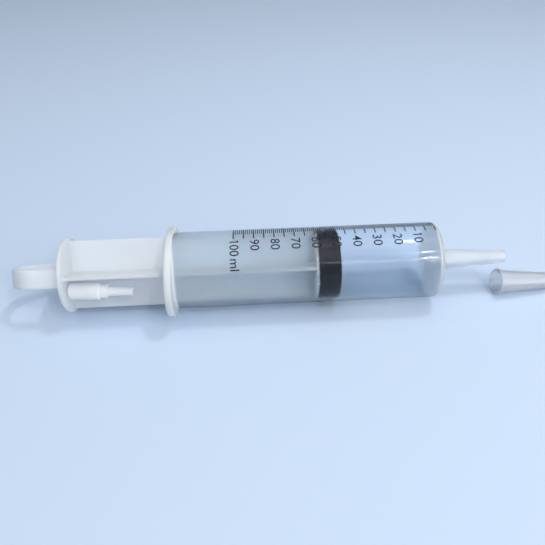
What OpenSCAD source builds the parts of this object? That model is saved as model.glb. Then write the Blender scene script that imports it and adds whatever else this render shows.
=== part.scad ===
// Irrigation syringe for 100 ml with a tapered nozzle, a thumb ring, a stored tip adapter and a loose cap.
// Millimetres. The origin is the centre of the nozzle's opening, +X points out of it and +Z is up.

/* [Barrel] */
// Outside diameter of the barrel
barrel_od = 38; // [37:0.1:42]
// Thickness of the barrel's side wall
barrel_wall = 1.4; // [1:0.1:2]
// Length from the flange's rear face to the flat front end
barrel_len = 134.8; // [125:0.1:160]
// Thickness of the front end wall
end_wall = 1.3; // [1:0.1:2.5]
// Rounding of the front corner
front_round = 2.5; // [1.6:0.1:4]
// Rounding inside the front corner
inner_round = 1; // [0.5:0.1:1.5]
// Height of the ridge in the mouth that keeps the stopper in
bead_h = 0.3; // [0.1:0.05:0.35]
// Length of that ridge
bead_len = 2.4; // [1.6:0.1:4]
// Distance from the flange's rear face to the middle of that ridge
bead_in = 6.5; // [4:0.1:9]

/* [Finger flange] */
// How far the oval flange's two wings stand out from the barrel
flange_wing = 8; // [4:0.1:12]
// How far the flange's flatter sides stand out from the barrel
flange_low = 0.5; // [0.3:0.05:4]
// Thickness of the flange
flange_t = 3.4; // [2.4:0.1:4.5]
// Rounding of the flange's rim
flange_round = 0.9; // [0.4:0.1:1.1]
// Fillet between the flange and the barrel
flange_fillet = 1.2; // [0.5:0.1:2]

/* [Nozzle] */
// Length of the nozzle in front of the barrel's end
nozzle_len = 36.1; // [30:0.1:40]
// Outside diameter of the nozzle at its root
nozzle_root_d = 10.2; // [9:0.1:11]
// Outside diameter of the nozzle at its tip
nozzle_tip_d = 6.2; // [5.6:0.1:6.4]
// How far the nozzle's side bulges past a straight taper
nozzle_bulge = 0.18; // [0.05:0.01:0.3]
// Diameter of the straight bore at the nozzle's tip
nozzle_bore_d = 4.2; // [3:0.1:4.4]
// Length of that straight bore, behind which the nozzle widens inside
nozzle_land = 6; // [3:0.5:12]
// Thickness of the nozzle's wall at its root
nozzle_wall = 1.1; // [0.8:0.1:2]
// Rounding of the nozzle's tip
tip_round = 0.4; // [0.2:0.05:0.5]
// Fillet at the nozzle's root
root_fillet = 1; // [0.4:0.1:2]

/* [Stopper] */
// Distance from the stopper's front to the end wall, about a millimetre for each millilitre
plunger_draw = 48.95; // [20:0.05:80]
// Length of the rubber stopper
stopper_len = 10.5; // [9.5:0.1:14]
// Clearance between the stopper's lips and the bore
stopper_gap = 0.05; // [0.02:0.01:0.1]
// Length of the rear sealing lip
rear_lip = 3.2; // [2:0.1:4]
// Width of the groove between the two lips
groove_w = 1; // [0.6:0.1:2]
// Depth of that groove
groove_depth = 1.1; // [0.5:0.1:2]
// Length of the chamfer round the stopper's front
stopper_chamfer = 1.2; // [0.6:0.1:2]
// Rounding of the lips
lip_round = 0.35; // [0.2:0.05:0.45]

/* [Plunger rod] */
// Turn of the rod in the barrel, from the thumb ring lying level
rod_turn = 31; // [0:1:90]
// Clearance between the ribs and the mouth's ridge, beside the thumb disc
rib_rear_gap = 0.3; // [0.2:0.05:2]
// Clearance between the ribs and the mouth's ridge, behind the front plate
rib_front_gap = 0.5; // [0.2:0.05:3]
// Thickness of the ribs
rib_t = 1.7; // [1.2:0.1:2.4]
// Fillet where the ribs cross
rib_fillet = 0.8; // [0.4:0.1:1.5]
// Fillet between the ribs' sides and the thumb disc
rib_foot = 1; // [0.5:0.1:1.5]
// Radius of the hollow flare by which a rib's edge runs out on the thumb disc
rib_flare = 1.1; // [0.6:0.1:1.3]
// Clearance between the plate behind the stopper and the mouth's ridge
plate_gap = 0.3; // [0.2:0.05:2]
// Thickness of that plate
plate_t = 1.65; // [1:0.05:2.5]
// Diameter of the neck inside the stopper
neck_d = 10; // [8:0.1:12]
// Length of the neck
neck_len = 2.8; // [2:0.1:4]
// Diameter of the mushroom head
head_d = 17; // [14:0.1:20]
// Thickness of the mushroom head
head_t = 3; // [2:0.1:3.6]
// Clearance round the neck and the head in the rubber
head_play = 0.2; // [0.1:0.05:0.4]

/* [Thumb disc and ring] */
// How far the thumb disc laps over the barrel's mouth
disc_lap = 1.1; // [0.9:0.1:3]
// Thickness of the thumb disc
disc_t = 1.9; // [1.4:0.1:3]
// Rounding of the disc's rim
disc_round = 0.6; // [0.3:0.1:0.65]
// Outside width of the thumb ring
ring_w = 28; // [24:0.5:34]
// Length of the ring behind the disc
ring_len = 26.7; // [24:0.1:36]
// Width of the ring's band
band_w = 9.3; // [6:0.1:12]
// Thickness of the ring's band
band_t = 2.3; // [2:0.1:3.2]
// Rounding of the band's edges
band_round = 0.9; // [0.3:0.1:0.95]
// Fillet between the ring's legs and the disc
ring_foot = 1; // [0.5:0.1:2]

/* [Full push] */
// Space left between the stopper and the end wall at full push
push_left = 0.95; // [0.5:0.05:2]
// Space left between the thumb disc and the flange at full push
disc_gap = 0.75; // [0.4:0.05:2]

/* [Adapter peg] */
// Clearance between the stored adapter's socket and the ribs beside it
adapter_gap = 2.15; // [1:0.05:3.5]
// How much thinner the peg is than the nozzle's tip, on the radius
peg_under = 0.05; // [0:0.01:0.3]
// Height of the peg in front of the disc
peg_h = 4.3; // [3:0.1:6]
// Lean of the stored adapter away from the rod
adapter_lean = 3; // [0:0.5:3.5]

/* [Tip adapter] */
// Clearance between the peg and the adapter's socket
socket_play = 0.15; // [0.14:0.01:0.2]
// Clearance between the adapter's mouth and the disc
mouth_gap = 0.3; // [0.28:0.01:0.5]
// Thickness of the socket's wall
socket_wall = 1; // [0.7:0.05:1.5]
// Length of the socket end
socket_len = 14.5; // [12:0.1:18]
// Depth of the socket's straight bore
socket_depth = 10.5; // [9:0.1:11]
// How much smaller the step in front of the socket end is, on the radius
step_in = 0.75; // [0.3:0.05:1.1]
// Length of that step with its shoulder
step_len = 4; // [3:0.1:5]
// Length of the shoulder's slope
shoulder_len = 0.8; // [0.4:0.1:1.4]
// Diameter of the slip tip at its end
luer_tip_d = 3.96; // [3.9:0.01:4]
// Taper of the slip tip, as diameter over length
luer_taper = 0.06; // [0.05:0.01:0.07]
// Length of the slip tip
luer_len = 12.6; // [8:0.1:14]
// Diameter of the bore through the slip tip
luer_bore_d = 2.2; // [1.6:0.1:2.6]

/* [Cap] */
// Room between the nozzle's tip and the closed end when the cap is on
cap_room = 0.7; // [0.2:0.1:4]
// How far the lip round the cap's mouth stands out
cap_lip = 0.8; // [0.4:0.05:2]
// Length of that lip
cap_lip_len = 1.5; // [1:0.1:3]
// Clearance between the cap's inside and the nozzle when the cap is on
cap_fit = 0.2; // [0:0.05:0.5]
// How hollow the cap's taper is, where 1 is straight
cap_curve = 1.35; // [1:0.05:1.6]
// Thickness of the cap's side wall
cap_wall = 0.7; // [0.5:0.05:0.9]
// Thickness of the cap's closed end
cap_end_wall = 1.2; // [0.8:0.1:2]
// Rounding of the closed end
cap_round = 0.9; // [0.4:0.1:1.2]
// Distance of the cap's mouth behind the nozzle's tip
cap_back = 3.4; // [0:0.1:5]
// Distance of the cap's mouth to the side of the nozzle
cap_side = 5.7; // [0:0.1:12]
// Turn of the cap away from the nozzle's line
cap_yaw = 3; // [0:0.5:15]

/* [Hidden] */
$fn = 96;

barrel_r = barrel_od / 2;
bore_r = barrel_r - barrel_wall;
front_x = -nozzle_len;
chamber_x = front_x - end_wall;
flange_x = front_x - barrel_len;
bead_x = flange_x + bead_in;
bead_r = bore_r - bead_h;
bead_slope = bead_len / 4;
mouth_lead = 0.5;
flange_a = barrel_r + flange_wing;
flange_b = barrel_r + flange_low;
nozzle_root_r = nozzle_root_d / 2;
nozzle_tip_r = nozzle_tip_d / 2;
nozzle_bore_r = nozzle_bore_d / 2;

stopper_x = chamber_x - plunger_draw;
stopper_rear_x = stopper_x - stopper_len;
stopper_r = bore_r - stopper_gap;
plate_x = stopper_rear_x - head_play;
rib_x = plate_x - plate_t;
head_x = plate_x + neck_len;
head_front_x = head_x + head_t;
push_len = plunger_draw - push_left;
disc_x = flange_x - push_len - disc_gap;
disc_rear_x = disc_x - disc_t;
disc_r = bore_r + disc_lap;
rib_rear_r = bead_r - rib_rear_gap;
rib_front_r = bead_r - rib_front_gap;
plate_r = bead_r - plate_gap;
ring_mid_r = (ring_w - band_t) / 2;
ring_turn_x = disc_rear_x - ring_len + ring_w / 2;

peg_r = nozzle_tip_r - peg_under;
peg_lead = 0.4;
socket_r = peg_r + socket_play;
socket_or = socket_r + socket_wall;
step_r = socket_or - step_in;
peg_off = rib_t / 2 + adapter_gap + socket_or;
luer_end_x = socket_len + step_len + luer_len;
luer_tip_r = luer_tip_d / 2;
luer_root_r = luer_tip_r + luer_taper * luer_len / 2;
luer_bore_r = luer_bore_d / 2;
luer_round = 0.4;
socket_lead = 0.3;

floor_front_x = front_x - front_round;
floor_flange_x = flange_x + flange_t - flange_round;
floor_slope = (flange_b - barrel_r) / (floor_front_x - floor_flange_x);
cap_len = nozzle_len + cap_room + cap_end_wall;
cap_mouth_r = nozzle_root_r + cap_fit + cap_wall;
cap_end_r = nozzle_tip_r + cap_fit + cap_wall;
cap_lip_r = cap_mouth_r + cap_lip;
cap_drop = atan((cap_lip_r - cap_end_r) / (cap_len - cap_round - cap_lip_len));
cap_pitch = cap_drop - atan(floor_slope);
cap_rest_r = cap_lip_r * cos(cap_pitch) + cap_lip_len * sin(cap_pitch);
cap_floor_z = -barrel_r + floor_slope * (-cap_back - floor_front_x);
cap_z = cap_floor_z + cap_rest_r;

arc_steps = 6;
nozzle_steps = 12;
cap_steps = 12;
oval_steps = 72;
over = 1;

// Points on an arc about a centre, from one angle to another
function arc(cx, cy, r, from, to, steps = arc_steps) =
    [for (i = [0:steps]) [cx + r * cos(from + (to - from) * i / steps), cy + r * sin(from + (to - from) * i / steps)]];

// Radius of the nozzle's side at a share of the way from its root to its tip
function nozzle_r(t) = nozzle_root_r + (nozzle_tip_r - nozzle_root_r) * t + 4 * nozzle_bulge * t * (1 - t);

// Outside radius of the cap at a share of the way from its lip to its closed end
function cap_r(t) = cap_end_r + (cap_mouth_r - cap_end_r) * pow(1 - t, cap_curve);

// Corners of an oval with half axes a and b
function oval(a, b) = [for (i = [0:oval_steps - 1]) [a * cos(360 * i / oval_steps), b * sin(360 * i / oval_steps)]];

// Solid of revolution about the X axis from points given as distance along X and radius
module turned(points) {
    rotate([0, 90, 0])
        rotate_extrude()
            polygon([for (p = points) [p[1], p[0]]]);
}

// Round bar along X from one place to another
module bar(from, to, r) {
    translate([from, 0, 0])
        rotate([0, 90, 0])
            cylinder(h = to - from, r = r);
}

// Oval plate with a rounded rim, its rear face at x
module flange_plate(x) {
    mid = flange_t / 2;
    hull()
        for (a = [0:30:90]) {
            half = mid - flange_round * (1 - sin(a));
            inset = flange_round * (1 - cos(a));
            translate([x + mid, 0, 0])
                rotate([90, 0, 90])
                    linear_extrude(height = 2 * half, center = true)
                        polygon(oval(flange_a - inset, flange_b - inset));
        }
}

// Outside of the barrel with its rounded front corner and nozzle
module barrel_outside() {
    root_x = front_x + root_fillet;
    side = [for (i = [1:nozzle_steps]) [front_x + nozzle_len * i / nozzle_steps, nozzle_r(i / nozzle_steps)]];
    root_r = nozzle_r(root_fillet / nozzle_len);
    turned(concat(
        [[flange_x + flange_t / 2, 0], [flange_x + flange_t / 2, barrel_r]],
        arc(front_x - front_round, barrel_r - front_round, front_round, 90, 0),
        arc(root_x, root_r + root_fillet, root_fillet, 180, 270),
        [for (p = side) if (p[0] > root_x && p[0] < -tip_round) p],
        arc(-tip_round, nozzle_tip_r - tip_round, tip_round, 90, 0),
        [[0, 0]]));
}

// Fillet between the flange's front face and the barrel, which runs out where the flange is low
module flange_blend() {
    face = flange_x + flange_t;
    intersection() {
        turned(concat(
            [[face - flange_t / 2, barrel_r - barrel_wall / 2], [face - flange_t / 2, barrel_r + flange_fillet]],
            arc(face + flange_fillet, barrel_r + flange_fillet, flange_fillet, 180, 270),
            [[face + flange_fillet, barrel_r - barrel_wall / 2]]));
        translate([flange_x, 0, 0])
            rotate([90, 0, 90])
                linear_extrude(height = flange_t + flange_fillet + over)
                    polygon(oval(flange_a - flange_round, flange_b - flange_round));
    }
}

// Chamber with a lead at its mouth, the ridge that keeps the stopper in and a rounded end
module chamber() {
    turned(concat(
        [[flange_x - over, 0], [flange_x - over, bore_r + mouth_lead + over]],
        [[flange_x + mouth_lead, bore_r]],
        [[bead_x - bead_len / 2, bore_r], [bead_x - bead_len / 2 + bead_slope, bead_r]],
        [[bead_x + bead_len / 2 - bead_slope, bead_r], [bead_x + bead_len / 2, bore_r]],
        arc(chamber_x - inner_round, bore_r - inner_round, inner_round, 90, 0),
        [[chamber_x, 0]]));
}

// Passage through the nozzle: straight at the tip, then widening to the chamber
module nozzle_passage() {
    bar(-nozzle_land - over, over, nozzle_bore_r);
    turned([
        [chamber_x - over, 0],
        [chamber_x - over, nozzle_root_r - nozzle_wall],
        [chamber_x, nozzle_root_r - nozzle_wall],
        [-nozzle_land, nozzle_bore_r],
        [-nozzle_land, 0]]);
}

// Fillet with a hollow quarter-round that fills the corner at the origin, along Z about its middle
module corner_fillet(len, r) {
    lap = rib_t / 4;
    linear_extrude(height = len, center = true)
        polygon(concat([[-lap, -lap], [r, -lap]], arc(r, r, r, 270, 180), [[-lap, r]]));
}

module barrel() {
    color([0.80, 0.88, 0.95, 0.55])
        difference() {
            union() {
                barrel_outside();
                flange_plate(flange_x);
                flange_blend();
            }
            chamber();
            nozzle_passage();
        }
}

// Pair of opposite ribs as one flat plate, a little wider at the disc, where its edges flare out, than in front
module rib_pair() {
    root_x = disc_x - disc_t / 2;
    flare = arc(disc_x + rib_flare, rib_rear_r + rib_flare, rib_flare, 180, 270);
    edge = concat([[root_x, rib_rear_r + rib_flare]], flare, [[rib_x + plate_t / 2, rib_front_r]]);
    mirrored = [for (i = [len(edge) - 1:-1:0]) [edge[i][0], -edge[i][1]]];
    linear_extrude(height = rib_t, center = true)
        polygon(concat(edge, mirrored));
}

// Fillets along the line where the ribs cross and at both sides of their feet on the disc
module rib_fillets() {
    middle_x = (disc_x + rib_x) / 2;
    for (a = [0:90:270])
        rotate([a, 0, 0]) {
            translate([middle_x, rib_t / 2, rib_t / 2])
                rotate([90, 0, 90])
                    corner_fillet(rib_x - disc_x + rib_t / 2, rib_fillet);
            translate([disc_x, rib_t / 2, 0])
                corner_fillet(2 * rib_rear_r, rib_foot);
        }
}

// Front plate, neck and mushroom head that hold the stopper
module rod_head() {
    lead = head_t / 2;
    bar(rib_x, plate_x, plate_r);
    turned([
        [plate_x - plate_t / 2, 0],
        [plate_x - plate_t / 2, neck_d / 2],
        [head_x, neck_d / 2],
        [head_x, head_d / 2],
        [head_front_x - lead, head_d / 2],
        [head_front_x, head_d / 2 - lead],
        [head_front_x, 0]]);
}

// Thumb disc with a rounded rim
module thumb_disc() {
    turned(concat(
        [[disc_rear_x, 0]],
        arc(disc_rear_x + disc_round, disc_r - disc_round, disc_round, 180, 90),
        arc(disc_x - disc_round, disc_r - disc_round, disc_round, 90, 0),
        [[disc_x, 0]]));
}

// Cross-section of the ring's band, rounded at its edges, about its own middle
module band_section() {
    x = band_t / 2 - band_round;
    y = band_w / 2 - band_round;
    polygon(concat(
        arc(x, y, band_round, 0, 90),
        arc(-x, y, band_round, 90, 180),
        arc(-x, -y, band_round, 180, 270),
        arc(x, -y, band_round, 270, 360)));
}

// Thumb ring: two straight legs from the disc and a half turn behind them
module thumb_ring() {
    leg = disc_x - disc_t / 2 - ring_turn_x;
    for (side = [-1, 1])
        translate([ring_turn_x, side * ring_mid_r, 0])
            rotate([90, 0, 90])
                linear_extrude(height = leg)
                    band_section();
    translate([ring_turn_x, 0, 0])
        rotate([0, 0, 90])
            rotate_extrude(angle = 180)
                translate([ring_mid_r, 0])
                    band_section();
    for (y = [-ring_mid_r, ring_mid_r], side = [-1, 1])
        translate([disc_rear_x, y + side * band_t / 2, 0])
            rotate([0, 90 - side * 90, 180])
                corner_fillet(band_w - 2 * band_round, ring_foot);
}

// Peg on the disc's front face that holds the stored adapter by its socket
module storage_peg() {
    translate([disc_x, -peg_off, -peg_off])
        turned([
            [-disc_t / 2, 0],
            [-disc_t / 2, peg_r],
            [peg_h - peg_lead, peg_r],
            [peg_h, peg_r - peg_lead],
            [peg_h, 0]]);
}

module plunger_rod() {
    color([0.86, 0.90, 0.96])
        rotate([-rod_turn, 0, 0]) {
            for (a = [0, 90])
                rotate([a, 0, 0])
                    rib_pair();
            rib_fillets();
            rod_head();
            thumb_disc();
            thumb_ring();
            storage_peg();
        }
}

// Rubber stopper: two lips with a groove between them, hollow for the rod's head
module stopper() {
    lip = lip_round;
    groove_x = stopper_rear_x + rear_lip;
    front_lip_x = groove_x + groove_w;
    groove_r = stopper_r - groove_depth;
    cavity_r = head_d / 2 + head_play;
    throat_r = neck_d / 2 + head_play;
    cavity_rear_x = head_x - head_play;
    cavity_front_x = head_front_x + head_play;
    color([0.06, 0.07, 0.10])
        turned(concat(
            [[stopper_rear_x, throat_r]],
            arc(stopper_rear_x + lip, stopper_r - lip, lip, 180, 90),
            arc(groove_x - lip, stopper_r - lip, lip, 90, 0),
            [[groove_x, groove_r], [front_lip_x, groove_r]],
            arc(front_lip_x + lip, stopper_r - lip, lip, 180, 90),
            [[stopper_x - stopper_chamfer, stopper_r], [stopper_x, stopper_r - stopper_chamfer], [stopper_x, 0]],
            [[cavity_front_x, 0], [cavity_front_x, cavity_r]],
            [[cavity_rear_x, cavity_r], [cavity_rear_x, throat_r]]));
}

// Adapter about its own axis, with its mouth at zero
module adapter_body() {
    step_x = socket_len + shoulder_len;
    slip_x = socket_len + step_len;
    difference() {
        turned(concat(
            [[0, 0], [0, socket_or - socket_lead], [socket_lead, socket_or], [socket_len, socket_or]],
            [[step_x, step_r], [slip_x, step_r], [slip_x, luer_root_r]],
            arc(luer_end_x - luer_round, luer_tip_r - luer_round, luer_round, 90, 0),
            [[luer_end_x, 0]]));
        bar(-over, socket_depth, socket_r);
        turned([
            [socket_depth - socket_lead, 0],
            [socket_depth - socket_lead, socket_r],
            [socket_depth, socket_r],
            [socket_len, luer_bore_r],
            [socket_len, 0]]);
        bar(socket_depth, luer_end_x + over, luer_bore_r);
    }
}

module luer_adapter() {
    color([0.90, 0.93, 0.98])
        rotate([-rod_turn, 0, 0])
            translate([disc_x + peg_h / 2, -peg_off, -peg_off])
                rotate([0, adapter_lean, 0])
                    translate([mouth_gap - peg_h / 2, 0, 0])
                        adapter_body();
}

// Cap about its own axis, with its mouth at zero
module cap_body() {
    side_len = cap_len - cap_lip_len;
    shares = [for (i = [0:cap_steps]) i / cap_steps];
    side = [for (t = shares) [cap_lip_len + side_len * t, cap_r(t)]];
    inside = [for (t = shares) [cap_lip_len + side_len * t - cap_end_wall, cap_r(t) - cap_wall]];
    lip_edge = cap_lip_len / 3;
    difference() {
        turned(concat(
            [[0, 0], [0, cap_lip_r - lip_edge], [lip_edge, cap_lip_r], [cap_lip_len, cap_lip_r]],
            [for (p = side) if (p[0] < cap_len - cap_round) p],
            arc(cap_len - cap_round, cap_end_r - cap_round, cap_round, 90, 0),
            [[cap_len, 0]]));
        turned(concat(
            [[-over, 0], [-over, inside[0][1]]],
            inside,
            [[cap_len - cap_end_wall, 0]]));
    }
}

module tip_cap() {
    color([0.92, 0.95, 1.0])
        translate([-cap_back, -cap_side, cap_z])
            rotate([0, cap_pitch, cap_yaw])
                cap_body();
}

barrel();
plunger_rod();
stopper();
luer_adapter();
tip_cap();
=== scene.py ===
import math
import bpy
import bmesh
import numpy as np
from mathutils import Matrix, Vector


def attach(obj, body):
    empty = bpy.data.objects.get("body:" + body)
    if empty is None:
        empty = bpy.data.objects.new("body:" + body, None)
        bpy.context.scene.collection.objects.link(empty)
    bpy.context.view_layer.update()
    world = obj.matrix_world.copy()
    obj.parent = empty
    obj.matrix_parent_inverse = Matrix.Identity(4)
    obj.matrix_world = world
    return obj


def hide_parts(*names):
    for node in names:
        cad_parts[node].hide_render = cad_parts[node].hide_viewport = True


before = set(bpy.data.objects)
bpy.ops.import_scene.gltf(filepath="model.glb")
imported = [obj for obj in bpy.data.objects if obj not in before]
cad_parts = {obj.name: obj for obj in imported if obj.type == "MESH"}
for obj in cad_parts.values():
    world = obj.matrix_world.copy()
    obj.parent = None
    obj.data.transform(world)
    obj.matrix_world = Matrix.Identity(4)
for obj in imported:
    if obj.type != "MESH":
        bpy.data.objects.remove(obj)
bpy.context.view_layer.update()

# ---------------------------------------------------------------- Camera
# A camera at the height of someone leaning over a table, a little in front of the syringe.
# Its place comes from the ovals that the round rims make in the photograph.
camera = bpy.data.objects.new("camera", bpy.data.cameras.new("camera"))
camera.data.sensor_width = 36
camera.data.lens = 37.06
camera.data.clip_start = 0.01
camera.data.clip_end = 20
camera.location = (-0.1287, -0.22431, 0.17556)
camera.rotation_euler = [math.radians(turn) for turn in (51.324, 0.753, -3.036)]
bpy.context.scene.collection.objects.link(camera)
bpy.context.scene.camera = camera
bpy.context.scene.view_settings.view_transform = "Standard"

# ---------------------------------------------------------------- Floor
# One smooth pale sheet that the syringe lies on. The barrel rests on its flange's low side and
# on its front corner, so the sheet tips by a quarter of a degree against the barrel's axis.
floor_half = 3.0
floor_lines = 25
floor_z = -0.019
floor_slope = 0.00385
front_corner_x = -0.0386


def named_material(name):
    """New node material, its nodes, its links and its Principled shader."""
    made = bpy.data.materials.new(name)
    made.use_nodes = True
    tree = made.node_tree
    return made, tree.nodes, tree.links, tree.nodes["Principled BSDF"]


def mesh_piece(name, points, faces):
    """Smooth mesh object at the origin from an array of points in metres and one of faces."""
    mesh = bpy.data.meshes.new(name)
    mesh.from_pydata(points.tolist(), [], faces.tolist())
    mesh.polygons.foreach_set("use_smooth", np.ones(len(mesh.polygons), bool))
    mesh.validate()
    piece = bpy.data.objects.new(name, mesh)
    bpy.context.scene.collection.objects.link(piece)
    return piece


# The sheet is a square grid whose height grows evenly with x from the barrel's front corner.
line = np.linspace(-floor_half, floor_half, floor_lines)
grid_x, grid_y = np.meshgrid(line, line, indexing="ij")
grid_z = floor_z + floor_slope * (grid_x - front_corner_x)
index = np.arange(floor_lines ** 2).reshape(floor_lines, floor_lines)
tiles = [index[:-1, :-1], index[1:, :-1], index[1:, 1:], index[:-1, 1:]]
floor = mesh_piece(
    "floor",
    np.stack([grid_x, grid_y, grid_z], -1).reshape(-1, 3),
    np.stack(tiles, -1).reshape(-1, 4))

floor_paint, nodes, links, shader = named_material("floor_paint")
shader.inputs["Base Color"].default_value = (0.54, 0.65, 0.81, 1)
shader.inputs["Roughness"].default_value = 0.75
shader.inputs["Specular IOR Level"].default_value = 0.3
floor.data.materials.append(floor_paint)

# ---------------------------------------------------------------- Light
# A wide soft panel overhead lights the syringe, so that the rod's near rib shades the lower half,
# a thin strip in front glints along the barrel, and a low panel at the right fills the shadows.
# Three small lamps stand for the lit things whose reflections lie on the barrel's front end.
world = bpy.data.worlds.new("room")
bpy.context.scene.world = world
world.use_nodes = True
room = world.node_tree.nodes["Background"]
room.inputs["Color"].default_value = (0.86, 0.93, 1.0, 1)
room.inputs["Strength"].default_value = 0.30


def soft_panel(name, place, aim, width, length, watts):
    """Rectangular lamp at place that shines towards aim.

    Its width runs square to the world's Y axis and to its beam, so as near as can be along X."""
    lamp = bpy.data.lights.new(name, "AREA")
    lamp.shape = "RECTANGLE"
    lamp.size = width
    lamp.size_y = length
    lamp.energy = watts
    back = (Vector(place) - Vector(aim)).normalized()
    across = Vector((0, 1, 0)).cross(back).normalized()
    holder = bpy.data.objects.new(name, lamp)
    holder.location = place
    holder.rotation_euler = Matrix((across, back.cross(across), back)).transposed().to_euler()
    bpy.context.scene.collection.objects.link(holder)


soft_panel("overhead", (-0.15, -0.10, 1.18), (-0.13, 0.0, 0.0), 2.2, 1.5, 10.2)
soft_panel("front_strip", (0.15, -0.85, 0.70), (-0.10, 0.0, 0.0), 1.0, 0.05, 1.5)
soft_panel("side_fill", (0.70, -0.60, 0.30), (-0.13, 0.0, 0.0), 0.9, 0.45, 3.8)
soft_panel("lamp_high", (0.227, 0.14, 1.0), (-0.053, 0.0, 0.0), 0.024, 0.15, 2.0)
soft_panel("lamp_low", (0.272, -0.512, 0.90), (-0.044, 0.0, 0.0), 0.018, 0.11, 1.1)
soft_panel("lamp_front", (0.286, -0.769, 0.723), (-0.044, 0.0, 0.0), 0.018, 0.10, 1.1)

# ---------------------------------------------------------------- Barrel
# One injection moulding of translucent polypropylene: an oval finger flange, a thin tube with a
# ridge in its mouth, a rounded front and a tapered nozzle. It is clear where its wall is thin and
# milky where it is thick, at the flange, the front corner and the nozzle.


def group_of(name, inputs, outputs):
    """New shader node group with named inputs (with their defaults) and outputs."""
    group = bpy.data.node_groups.new(name, "ShaderNodeTree")
    for label, kind, value in inputs:
        socket = group.interface.new_socket(name=label, in_out="INPUT", socket_type=kind)
        socket.default_value = value
    for label, kind in outputs:
        group.interface.new_socket(name=label, in_out="OUTPUT", socket_type=kind)
    way_in = group.nodes.new("NodeGroupInput")
    way_out = group.nodes.new("NodeGroupOutput")
    return group, group.nodes, group.links, way_in, way_out


# Flow of the melt: soft clouds drawn out along the moulding, which shift its colour a little.
flow_group, nodes, links, way_in, way_out = group_of(
    "melt_flow",
    [("Clear Colour", "NodeSocketColor", (0.85, 0.9, 0.97, 1)),
     ("Cloudy Colour", "NodeSocketColor", (0.75, 0.82, 0.92, 1)),
     ("Clouds per Metre", "NodeSocketFloat", 60.0),
     ("Drawn Out", "NodeSocketFloat", 0.3)],
    [("Colour", "NodeSocketColor"), ("Cloud", "NodeSocketFloat")])
place = nodes.new("ShaderNodeTexCoord")
stretch = nodes.new("ShaderNodeCombineXYZ")
stretch.inputs["Y"].default_value = 1.0
stretch.inputs["Z"].default_value = 1.0
drawn = nodes.new("ShaderNodeVectorMath")
drawn.operation = "MULTIPLY"
clouds = nodes.new("ShaderNodeTexNoise")
clouds.inputs["Detail"].default_value = 3.0
clouds.inputs["Roughness"].default_value = 0.55
spread = nodes.new("ShaderNodeMapRange")
spread.inputs["From Min"].default_value = 0.32
spread.inputs["From Max"].default_value = 0.68
tint = nodes.new("ShaderNodeMix")
tint.data_type = "RGBA"
links.new(way_in.outputs["Drawn Out"], stretch.inputs["X"])
links.new(place.outputs["Object"], drawn.inputs[0])
links.new(stretch.outputs["Vector"], drawn.inputs[1])
links.new(drawn.outputs["Vector"], clouds.inputs["Vector"])
links.new(way_in.outputs["Clouds per Metre"], clouds.inputs["Scale"])
links.new(clouds.outputs["Fac"], spread.inputs["Value"])
links.new(spread.outputs["Result"], tint.inputs["Factor"])
links.new(way_in.outputs["Clear Colour"], tint.inputs[6])
links.new(way_in.outputs["Cloudy Colour"], tint.inputs[7])
links.new(tint.outputs[2], way_out.inputs["Colour"])
links.new(spread.outputs["Result"], way_out.inputs["Cloud"])

# Handling marks: hairline scuffs along the part and fine pits, as roughness and as height.
marks_group, nodes, links, way_in, way_out = group_of(
    "handling_marks",
    [("Plain Roughness", "NodeSocketFloat", 0.15),
     ("Scuffed Roughness", "NodeSocketFloat", 0.3),
     ("Scuffs per Metre", "NodeSocketFloat", 1400.0),
     ("Pits per Metre", "NodeSocketFloat", 1600.0),
     ("Pit Share", "NodeSocketFloat", 0.3)],
    [("Roughness", "NodeSocketFloat"), ("Height", "NodeSocketFloat")])
place = nodes.new("ShaderNodeTexCoord")
along = nodes.new("ShaderNodeMapping")
along.inputs["Scale"].default_value = (0.1, 1.0, 1.0)
along.inputs["Rotation"].default_value = (0.0, 0.04, 0.05)
scuffs = nodes.new("ShaderNodeTexNoise")
scuffs.inputs["Detail"].default_value = 2.0
worn = nodes.new("ShaderNodeMapRange")
worn.inputs["From Min"].default_value = 0.42
worn.inputs["From Max"].default_value = 0.78
pits = nodes.new("ShaderNodeTexNoise")
pits.inputs["Detail"].default_value = 1.0
pitted = nodes.new("ShaderNodeMath")
pitted.operation = "MULTIPLY"
rough = nodes.new("ShaderNodeMix")
height = nodes.new("ShaderNodeMath")
height.operation = "SUBTRACT"
links.new(place.outputs["Object"], along.inputs["Vector"])
links.new(along.outputs["Vector"], scuffs.inputs["Vector"])
links.new(way_in.outputs["Scuffs per Metre"], scuffs.inputs["Scale"])
links.new(scuffs.outputs["Fac"], worn.inputs["Value"])
links.new(place.outputs["Object"], pits.inputs["Vector"])
links.new(way_in.outputs["Pits per Metre"], pits.inputs["Scale"])
links.new(pits.outputs["Fac"], pitted.inputs[0])
links.new(way_in.outputs["Pit Share"], pitted.inputs[1])
links.new(worn.outputs["Result"], rough.inputs["Factor"])
links.new(way_in.outputs["Plain Roughness"], rough.inputs["A"])
links.new(way_in.outputs["Scuffed Roughness"], rough.inputs["B"])
links.new(pitted.outputs["Value"], height.inputs[0])
links.new(worn.outputs["Result"], height.inputs[1])
links.new(rough.outputs["Result"], way_out.inputs["Roughness"])
links.new(height.outputs["Value"], way_out.inputs["Height"])


def place_group(nodes, group, values):
    """Node in a material that uses a shader group with its own values."""
    placed = nodes.new("ShaderNodeGroup")
    placed.node_tree = group
    for label, value in values.items():
        placed.inputs[label].default_value = value
    return placed


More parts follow.
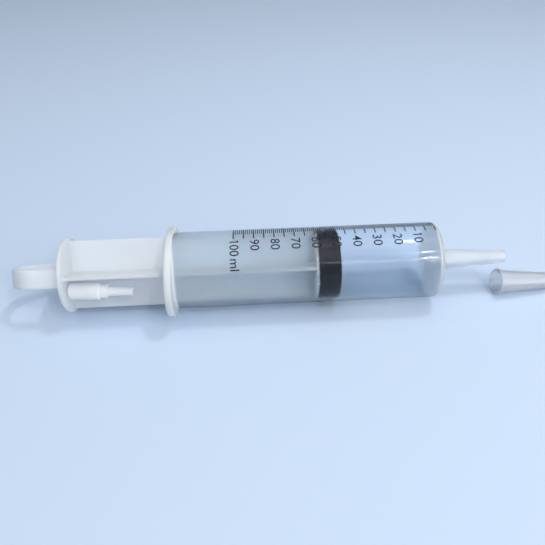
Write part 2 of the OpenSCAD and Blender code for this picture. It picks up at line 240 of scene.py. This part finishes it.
def moulded_plastic(name, clear, cloudy, smooth, scuffed, see_through, ior, skin=0.0):
    """Translucent moulded plastic: clouded colour, scuffed gloss, light passing or spreading in it.

    see_through is the share of light that passes through, and the rest spreads inside. ior is how
    strongly the plastic bends light: a thin wall hardly shifts what is behind it. skin is the
    share of a glossy outer face that mirrors sharply."""
    made, nodes, links, shader = named_material(name)
    flow = place_group(nodes, flow_group, {
        "Clear Colour": (*clear, 1),
        "Cloudy Colour": (*cloudy, 1)})
    marks = place_group(nodes, marks_group, {
        "Plain Roughness": smooth,
        "Scuffed Roughness": scuffed})
    bump = nodes.new("ShaderNodeBump")
    bump.inputs["Strength"].default_value = 0.2
    bump.inputs["Distance"].default_value = 0.00001
    links.new(flow.outputs["Colour"], shader.inputs["Base Color"])
    links.new(marks.outputs["Roughness"], shader.inputs["Roughness"])
    links.new(marks.outputs["Height"], bump.inputs["Height"])
    links.new(bump.outputs["Normal"], shader.inputs["Normal"])
    shader.inputs["IOR"].default_value = ior
    shader.inputs["Transmission Weight"].default_value = see_through
    shader.inputs["Subsurface Weight"].default_value = 1.0
    shader.inputs["Subsurface Radius"].default_value = (1.0, 1.0, 1.0)
    shader.inputs["Subsurface Scale"].default_value = 0.0015
    shader.inputs["Coat Weight"].default_value = skin
    shader.inputs["Coat Roughness"].default_value = 0.06
    return made


tube_clear = moulded_plastic(
    "tube_clear", (0.93, 0.97, 1.0), (0.88, 0.94, 1.0),
    smooth=0.30, scuffed=0.33, see_through=0.993, ior=1.1, skin=0.20)
flange_haze = moulded_plastic(
    "flange_haze", (0.93, 0.98, 1.0), (0.88, 0.95, 1.0),
    smooth=0.34, scuffed=0.38, see_through=0.45, ior=1.3, skin=0.35)
nose_haze = moulded_plastic(
    "nose_haze", (0.93, 0.97, 1.0), (0.88, 0.93, 1.0),
    smooth=0.31, scuffed=0.34, see_through=0.66, ior=1.15, skin=0.35)

# The moulding's sizes in millimetres: places are along X from the nozzle's opening, and the rest
# are radii, thicknesses and roundings.
flange_x, flange_t, flange_round, flange_fillet = -170.9, 3.4, 0.9, 1.2
flange_a, flange_b = 27.0, 19.5
barrel_r, bore_r = 19.0, 17.6
front_x, chamber_x = -36.1, -37.4
front_round, inner_round = 2.5, 1.0
nozzle_len, nozzle_root, nozzle_tip, nozzle_bulge = 36.1, 5.1, 3.1, 0.18
root_fillet, tip_round = 1.0, 0.4
nozzle_bore, nozzle_land, passage_slope, passage_rear = 2.1, 6.0, 0.0605, 4.0
bead_x, bead_half, bead_flat, bead_r = -164.4, 1.2, 0.6, 17.3
mouth_lead = 0.5
front_haze_x, rear_haze_x = front_x - 2.6, -167.4


def arc(middle_x, middle_r, radius, start, stop, steps):
    """Places and radii along a circle in a profile, from one angle to another in degrees."""
    turn = np.radians(np.linspace(start, stop, steps + 1))
    return middle_x + radius * np.cos(turn), middle_r + radius * np.sin(turn)


def turned_skin(name, x, r, turns):
    """Closed skin round the X axis: at station i and angle t the point is (x, -r cos t, r sin t).

    x and r hold a row for each station of a closed profile and a column for each angle."""
    points = np.stack([x, -r * np.cos(turns), r * np.sin(turns)], -1)
    stations, columns = x.shape
    index = np.arange(stations * columns).reshape(stations, columns)
    ahead, beside = np.roll(index, -1, 0), np.roll(index, -1, 1)
    both = np.roll(ahead, -1, 1)
    faces = np.stack([index, ahead, both, beside], -1).reshape(-1, 4)
    return mesh_piece(name, points.reshape(-1, 3) * 0.001, faces)


def blend_rows(first, last, steps):
    """Rows that go evenly from one array to another, without the last."""
    share = np.linspace(0, 1, steps, endpoint=False)[:, None]
    return first + (last - first) * share


def round_rows(start_x, start_r, end_x, end_r, steps):
    """Quarter of an ellipse: r grows by the sine of the turn and x by one less its cosine."""
    turn = np.linspace(0, math.pi / 2, steps, endpoint=False)[:, None]
    share_x, share_r = 1 - np.cos(turn), np.sin(turn)
    return start_x + (end_x - start_x) * share_x, start_r + (end_r - start_r) * share_r


def nozzle_radius(share):
    """Root radius shrinking evenly to the tip radius, plus a bulge that is greatest halfway."""
    return nozzle_root + (nozzle_tip - nozzle_root) * share + 4 * nozzle_bulge * share * (1 - share)


# The flange's rim is an ellipse: its radius at an angle is the product of the half axes over the
# length of (b cos, a sin). The rim's rounding and the fillet run into each other where the
# ellipse comes close to the barrel, so the fillet's size fades out there.
turns = np.linspace(0, 2 * math.pi, 256, endpoint=False)
every = np.ones_like(turns)
oval = flange_a * flange_b / np.hypot(flange_b * np.cos(turns), flange_a * np.sin(turns))
rear_x = flange_x * every
rim_rear = (flange_x + flange_round) * every
rim_front = (flange_x + flange_t - flange_round) * every
rim_r = oval - flange_round
face_r = np.maximum(rim_r, barrel_r + 0.03)
sunk = (face_r - oval + flange_round) / flange_round
face_x = flange_x + flange_t - flange_round + flange_round * np.sqrt(1 - sunk ** 2)
turn_down = blend_rows(math.pi / 2 * every, np.arcsin(np.clip(sunk, -1, 1)), 7)
fillet = flange_fillet * np.tanh(0.85 * (face_r - barrel_r) / flange_fillet)
hollow = np.linspace(0, math.pi / 2, 7)[:-1, None]
flange_rows = [
    (blend_rows(rear_x, rear_x, 4), blend_rows((bore_r + mouth_lead) * every, rim_r, 4)),
    round_rows(rear_x, rim_r, rim_rear, oval, 7),
    (blend_rows(rim_rear, rim_front, 2), blend_rows(oval, oval, 2)),
    (rim_front + flange_round * np.cos(turn_down), rim_r + flange_round * np.sin(turn_down)),
    (blend_rows(face_x, face_x, 3), blend_rows(face_r, barrel_r + fillet, 3)),
    (face_x + fillet * (1 - np.cos(hollow)), barrel_r + fillet * (1 - np.sin(hollow))),
]

# The tube has a short row at each end, which keeps the long rows' shading straight.
tube_share = np.array([0, 0.006, *np.linspace(0.08, 0.92, 11), 0.994])[:, None]
tube_x = face_x + fillet
tube_rows = [
    (tube_x + (front_x - front_round - face_x - fillet) * tube_share,
     barrel_r * every + 0 * tube_share)]

# From the front corner the profile goes out over the nozzle and back through its passage, the
# chamber and the mouth, the same all round.
root_x = front_x + root_fillet
root_r = nozzle_radius(root_fillet / nozzle_len)
side_x = np.linspace(root_x, -tip_round, 22)[1:-1]
passage_x = np.array([0.0, -3.0, -nozzle_land, -14.0, -22.0, -30.0])
passage_r = nozzle_bore + passage_slope * np.maximum(-nozzle_land - passage_x, 0)
bead_rise = np.array([bead_half, bead_flat, -bead_flat, -bead_half])
profile = [
    arc(front_x - front_round, barrel_r - front_round, front_round, 90, 0, 10),
    (np.full(4, front_x), np.linspace(15, 8, 4)),
    arc(root_x, root_r + root_fillet, root_fillet, 180, 270, 7),
    (side_x, nozzle_radius(1 + side_x / nozzle_len)),
    arc(-tip_round, nozzle_tip - tip_round, tip_round, 90, 0, 5),
    (passage_x, passage_r),
    (np.full(3, chamber_x), np.array([passage_rear, 8.0, 12.0])),
    arc(chamber_x - inner_round, bore_r - inner_round, inner_round, 0, 90, 6),
    (np.linspace(-39.0, -150.0, 10), np.full(10, bore_r)),
    (bead_x + bead_rise, np.array([bore_r, bead_r, bead_r, bore_r])),
    (np.array([flange_x + mouth_lead]), np.array([bore_r])),
]
turned_rows = [(x[:, None] * every, r[:, None] * every) for x, r in profile]
all_rows = flange_rows + tube_rows + turned_rows
skin_x = np.concatenate([x for x, r in all_rows])
skin_r = np.concatenate([r for x, r in all_rows])
barrel = turned_skin("barrel_moulding", skin_x, skin_r, turns)
barrel.data.set_sharp_from_angle(angle=math.radians(24))
for finish in (tube_clear, flange_haze, nose_haze):
    barrel.data.materials.append(finish)

# Each face takes the finish of the place where it starts: thin tube, flange or front.
station = np.repeat(np.arange(len(skin_x)), len(turns))
middle_x = skin_x.mean(1)[station]
in_flange = (station < sum(len(x) for x, r in flange_rows)) | (middle_x < rear_haze_x)
zone = np.where(middle_x > front_haze_x, 2, np.where(in_flange, 1, 0))
barrel.data.polygons.foreach_set("material_index", zone.astype(np.int32))
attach(barrel, "barrel")
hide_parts("barrel")

# ---------------------------------------------------------------- Printed scale
# Dark ink rolled onto the barrel: a mark for each millilitre, longer marks at every fifth, and a
# number at every tenth. The marks stand as a comb whose lower ends are level.
ink_r, ink_t, ink_sink = 19.0, 0.03, 0.01
zero_x, per_ml = -38.8, 0.992
single_half, fifth_half = 0.2, 0.27
single_low, fifth_low, low_drift, comb_high = 99.0, 87.4, 0.025, 131.0
mark_steps = 12


def wrap(u, v, w):
    """Point on the barrel: u mm down round the tube from the top, v along it, w outwards."""
    turn = math.pi / 2 - u / ink_r
    r = ink_r + w
    return np.stack([v, -r * np.cos(turn), r * np.sin(turn)], -1) * 0.001


# Each mark is a thin flat bar bent round the tube. It runs from comb_high, behind the top, to its
# lower end, both in degrees up from the level side that faces the camera. The lower ends drift
# a little from the front to the rear.
millilitres = np.arange(0, 101)
fifth = millilitres % 5 == 0
mark_x = zero_x - per_ml * millilitres
mark_half = np.where(fifth, fifth_half, single_half)
low_turn = np.where(fifth, fifth_low, single_low)
mark_low = np.radians(90 - low_turn + low_drift * millilitres) * ink_r
mark_high = np.full(len(millilitres), np.radians(90 - comb_high) * ink_r)
share = np.linspace(0, 1, mark_steps + 1)[None, :, None]
side = np.array([-1.0, 1.0, 1.0, -1.0])[None, None, :]
lift = np.array([-ink_sink, -ink_sink, ink_t, ink_t])[None, None, :]
u = mark_high[:, None, None] + (mark_low - mark_high)[:, None, None] * share + 0 * side
v = mark_x[:, None, None] + mark_half[:, None, None] * side + 0 * share
w = lift + 0 * u
points = wrap(u, v, w).reshape(-1, 3)
index = np.arange(u.size).reshape(u.shape)
near, far = index[:, :-1], index[:, 1:]
sides = np.stack([near, np.roll(near, -1, 2), np.roll(far, -1, 2), far], -1).reshape(-1, 4)
ends = np.concatenate([index[:, 0, ::-1], index[:, -1, :]])
marks = mesh_piece("scale_marks", points, np.concatenate([sides, ends]))
marks.data.set_sharp_from_angle(angle=math.radians(30))

scale_ink, nodes, links, shader = named_material("scale_ink")
flow = place_group(nodes, flow_group, {
    "Clear Colour": (0.008, 0.010, 0.018, 1),
    "Cloudy Colour": (0.022, 0.025, 0.036, 1),
    "Clouds per Metre": 700.0,
    "Drawn Out": 1.0})
rubbed = place_group(nodes, marks_group, {
    "Plain Roughness": 0.4,
    "Scuffed Roughness": 0.65})
links.new(flow.outputs["Colour"], shader.inputs["Base Color"])
links.new(rubbed.outputs["Roughness"], shader.inputs["Roughness"])
shader.inputs["Specular IOR Level"].default_value = 0.2
marks.data.materials.append(scale_ink)

letter_size, letter_swell, letter_middle = 6.3, 0.02, 2.15
cut_every = 0.5
flag_corners = np.array([(0.2, 4.42), (-0.6, 3.85), (-0.6, 3.3), (0.2, 3.85)])


def mesh_points(mesh):
    """Array of a mesh's points, a row for each."""
    flat = np.zeros(len(mesh.vertices) * 3)
    mesh.vertices.foreach_get("co", flat)
    return flat.reshape(-1, 3)


def flag_of_one(left):
    """Small prism, as thick as the ink, for the slanting stroke at the top of a figure 1."""
    stroke = flag_corners + (left, 0)
    rims = [np.column_stack([stroke, np.full(4, z)]) for z in (-ink_t / 2, ink_t / 2)]
    low = np.arange(4)
    around = np.stack([low, np.roll(low, -1), np.roll(low, -1) + 4, low + 4], -1)
    flag = bpy.data.meshes.new("flag")
    faces = [(3, 2, 1, 0), (4, 5, 6, 7), *around.tolist()]
    flag.from_pydata(np.concatenate(rims).tolist(), [], faces)
    return flag


def printed_word(name, text, middle, top, length):
    """Word wrapped on the barrel: its width runs down round the tube and its height along it.

    middle is the word's middle along the tube, top is the angle at which the ink starts, in
    degrees up from the level side that faces the camera, and length is the ink's whole width in
    millimetres. The flat letters are cut across every half millimetre, so that they bend."""
    curve = bpy.data.curves.new(name, "FONT")
    curve.body = text
    curve.size = letter_size
    curve.extrude = ink_t / 2
    curve.offset = letter_swell
    curve.resolution_u = 3
    writing = bpy.data.objects.new(name, curve)
    bpy.context.scene.collection.objects.link(writing)
    bpy.context.view_layer.update()
    drawn = writing.evaluated_get(bpy.context.evaluated_depsgraph_get())
    mesh = bpy.data.meshes.new_from_object(drawn)
    bpy.data.objects.remove(writing)
    flat = mesh_points(mesh)
    left, right = flat[:, 0].min(), flat[:, 0].max()
    shape = bmesh.new()
    shape.from_mesh(mesh)
    bmesh.ops.remove_doubles(shape, verts=shape.verts, dist=0.001)
    if text[0] == "1":
        flag = flag_of_one(left)
        shape.from_mesh(flag)
        bpy.data.meshes.remove(flag)
    for cut in np.arange(left + cut_every, right, cut_every):
        everything = shape.verts[:] + shape.edges[:] + shape.faces[:]
        bmesh.ops.bisect_plane(shape, geom=everything, plane_co=(cut, 0, 0), plane_no=(1, 0, 0))
    shape.to_mesh(mesh)
    shape.free()
    flat = mesh_points(mesh)
    down = math.radians(90 - top) * ink_r + (flat[:, 0] - left) * length / (right - left)
    bent = wrap(down, middle + flat[:, 1] - letter_middle, flat[:, 2] + ink_t / 2)
    mesh.vertices.foreach_set("co", bent.astype(np.float32).ravel())
    mesh.materials.clear()
    mesh.materials.append(scale_ink)
    word = bpy.data.objects.new(name, mesh)
    bpy.context.scene.collection.objects.link(word)
    return word


# Two digits start at 81.8 degrees and are 6.4 mm wide, but a figure 1 is narrower.
widths = {10: (80.0, 5.2), 100: (79.5, 8.2)}
number_shift = 0.3
pieces = [marks]
for ml in range(10, 101, 10):
    start, length = widths.get(ml, (81.8, 6.4))
    middle = zero_x - per_ml * ml + number_shift
    pieces.append(printed_word(f"scale_number_{ml}", str(ml), middle, start, length))
unit_middle = zero_x - per_ml * 100 + number_shift
pieces.append(printed_word("scale_unit", "ml", unit_middle, 50.5, 5.7))
for piece in pieces:
    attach(piece, "barrel")

# ---------------------------------------------------------------- Stopper
# One moulding of black rubber, wiped with silicone oil so that it slides. Its two lips press
# against the bore, and its back is snapped over the rod's head.
oiled_rubber, nodes, links, shader = named_material("oiled_rubber")
flow = place_group(nodes, flow_group, {
    "Clear Colour": (0.004, 0.005, 0.010, 1),
    "Cloudy Colour": (0.010, 0.012, 0.020, 1),
    "Clouds per Metre": 220.0,
    "Drawn Out": 1.0})
film = place_group(nodes, marks_group, {
    "Plain Roughness": 0.42,
    "Scuffed Roughness": 0.55,
    "Scuffs per Metre": 500.0})
grain = nodes.new("ShaderNodeBump")
grain.inputs["Strength"].default_value = 0.3
grain.inputs["Distance"].default_value = 0.00006
links.new(flow.outputs["Colour"], shader.inputs["Base Color"])
links.new(film.outputs["Roughness"], shader.inputs["Roughness"])
links.new(film.outputs["Height"], grain.inputs["Height"])
links.new(grain.outputs["Normal"], shader.inputs["Normal"])
shader.inputs["Specular IOR Level"].default_value = 0.06


def finish_solid(node, finish):
    """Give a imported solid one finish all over."""
    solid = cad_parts[node]
    solid.data.materials.clear()
    solid.data.materials.append(finish)


finish_solid("stopper", oiled_rubber)

# ---------------------------------------------------------------- Plunger rod
# One long moulding of milky plastic: four ribs in a cross, a plate and a head in the stopper, a
# thumb disc and a thumb ring. Light passes into its thin plates and glows at their edges.
rod_milky = moulded_plastic(
    "rod_milky", (0.93, 0.97, 1.0), (0.88, 0.93, 1.0),
    smooth=0.36, scuffed=0.40, see_through=0.44, ior=1.2)
finish_solid("plunger_rod", rod_milky)

# ---------------------------------------------------------------- Tip adapter
# A small stepped tube of the same milky plastic. It is pushed onto its peg on the thumb disc and
# is pulled off to be used.
adapter_milky = moulded_plastic(
    "adapter_milky", (0.95, 0.98, 1.0), (0.91, 0.95, 1.0),
    smooth=0.32, scuffed=0.36, see_through=0.10, ior=1.2)
finish_solid("luer_adapter", adapter_milky)

# ---------------------------------------------------------------- Cap
# A thin tapered cap with a lip, moulded in clearer plastic. It has been pulled off the nozzle and
# lies beside it on its lip and its end.
cap_thin = moulded_plastic(
    "cap_thin", (0.93, 0.96, 1.0), (0.88, 0.92, 1.0),
    smooth=0.31, scuffed=0.34, see_through=0.75, ior=1.3, skin=0.4)
finish_solid("tip_cap", cap_thin)
